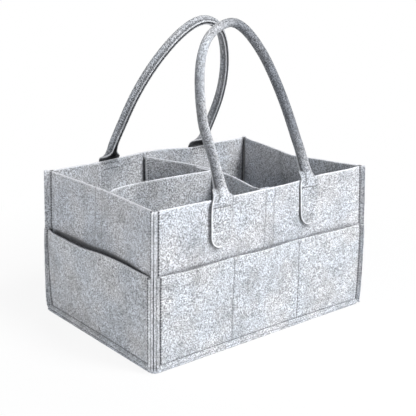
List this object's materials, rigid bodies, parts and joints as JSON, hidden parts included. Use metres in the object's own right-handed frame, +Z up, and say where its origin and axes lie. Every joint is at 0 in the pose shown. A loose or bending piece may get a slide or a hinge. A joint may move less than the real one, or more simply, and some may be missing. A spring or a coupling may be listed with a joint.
{
  "type": "diaper caddy",
  "caption": "Open felt caddy with two swinging strap handles, pockets on all four sides and two lift-out dividers held by hook-and-loop tape.",
  "frame": {"origin": "middle of the base at the surface that the caddy stands on", "axes": "+X along the length to the right as seen from the front, +Y from the front long side to the rear long side, +Z up"},
  "size_m": [0.3456, 0.2356, 0.3623],
  "materials": {
    "body_felt": "heathered light grey needle felt, matt",
    "pocket_felt": "heathered light grey needle felt, matt",
    "divider_felt": "heathered light grey needle felt, matt",
    "handle_felt": "heathered light grey needle felt rolled and sewn, matt",
    "handle_core": "soft white foam cord",
    "loop_tape": "woven tape with a brushed loop pile",
    "hook_tape": "woven tape with fine moulded hooks"
  },
  "bodies": {
    "root": {"base_panel": "body_felt", "front_wall": "body_felt", "right_wall": "body_felt", "rear_wall": "body_felt", "left_wall": "body_felt", "front_pocket": "pocket_felt", "rear_pocket": "pocket_felt", "left_pocket": "pocket_felt", "right_pocket": "pocket_felt", "front_handle_left_tab": "handle_felt", "front_handle_right_tab": "handle_felt", "rear_handle_left_tab": "handle_felt", "rear_handle_right_tab": "handle_felt", "front_wall_loop_tape": "loop_tape", "rear_wall_loop_tape": "loop_tape", "left_wall_loop_tape": "loop_tape"},
    "front_handle": {"front_handle_strap": "handle_felt", "front_handle_core": "handle_core"},
    "rear_handle": {"rear_handle_strap": "handle_felt", "rear_handle_core": "handle_core"},
    "cross_divider": {"cross_divider": "divider_felt", "cross_divider_front_hook_tape": "hook_tape", "cross_divider_rear_hook_tape": "hook_tape", "cross_divider_loop_tape": "loop_tape"},
    "long_divider": {"long_divider": "divider_felt", "long_divider_left_hook_tape": "hook_tape", "long_divider_right_hook_tape": "hook_tape"}
  },
  "joints": [
    {"name": "front_handle_swing", "type": "hinge", "parent": "root", "child": "front_handle", "pos_m": [0, -0.11182, 0.172], "axis": [1, 0, 0], "range_deg": [0, 164]},
    {"name": "rear_handle_swing", "type": "hinge", "parent": "root", "child": "rear_handle", "pos_m": [0, 0.11182, 0.172], "axis": [-1, 0, 0], "range_deg": [0, 164]},
    {"name": "cross_divider_lift", "type": "slide", "parent": "root", "child": "cross_divider", "axis": [0, 0, 1], "range_m": [0, 0.15]},
    {"name": "long_divider_lift", "type": "slide", "parent": "root", "child": "long_divider", "axis": [0, 0, 1], "range_m": [0, 0.15]}
  ]
}
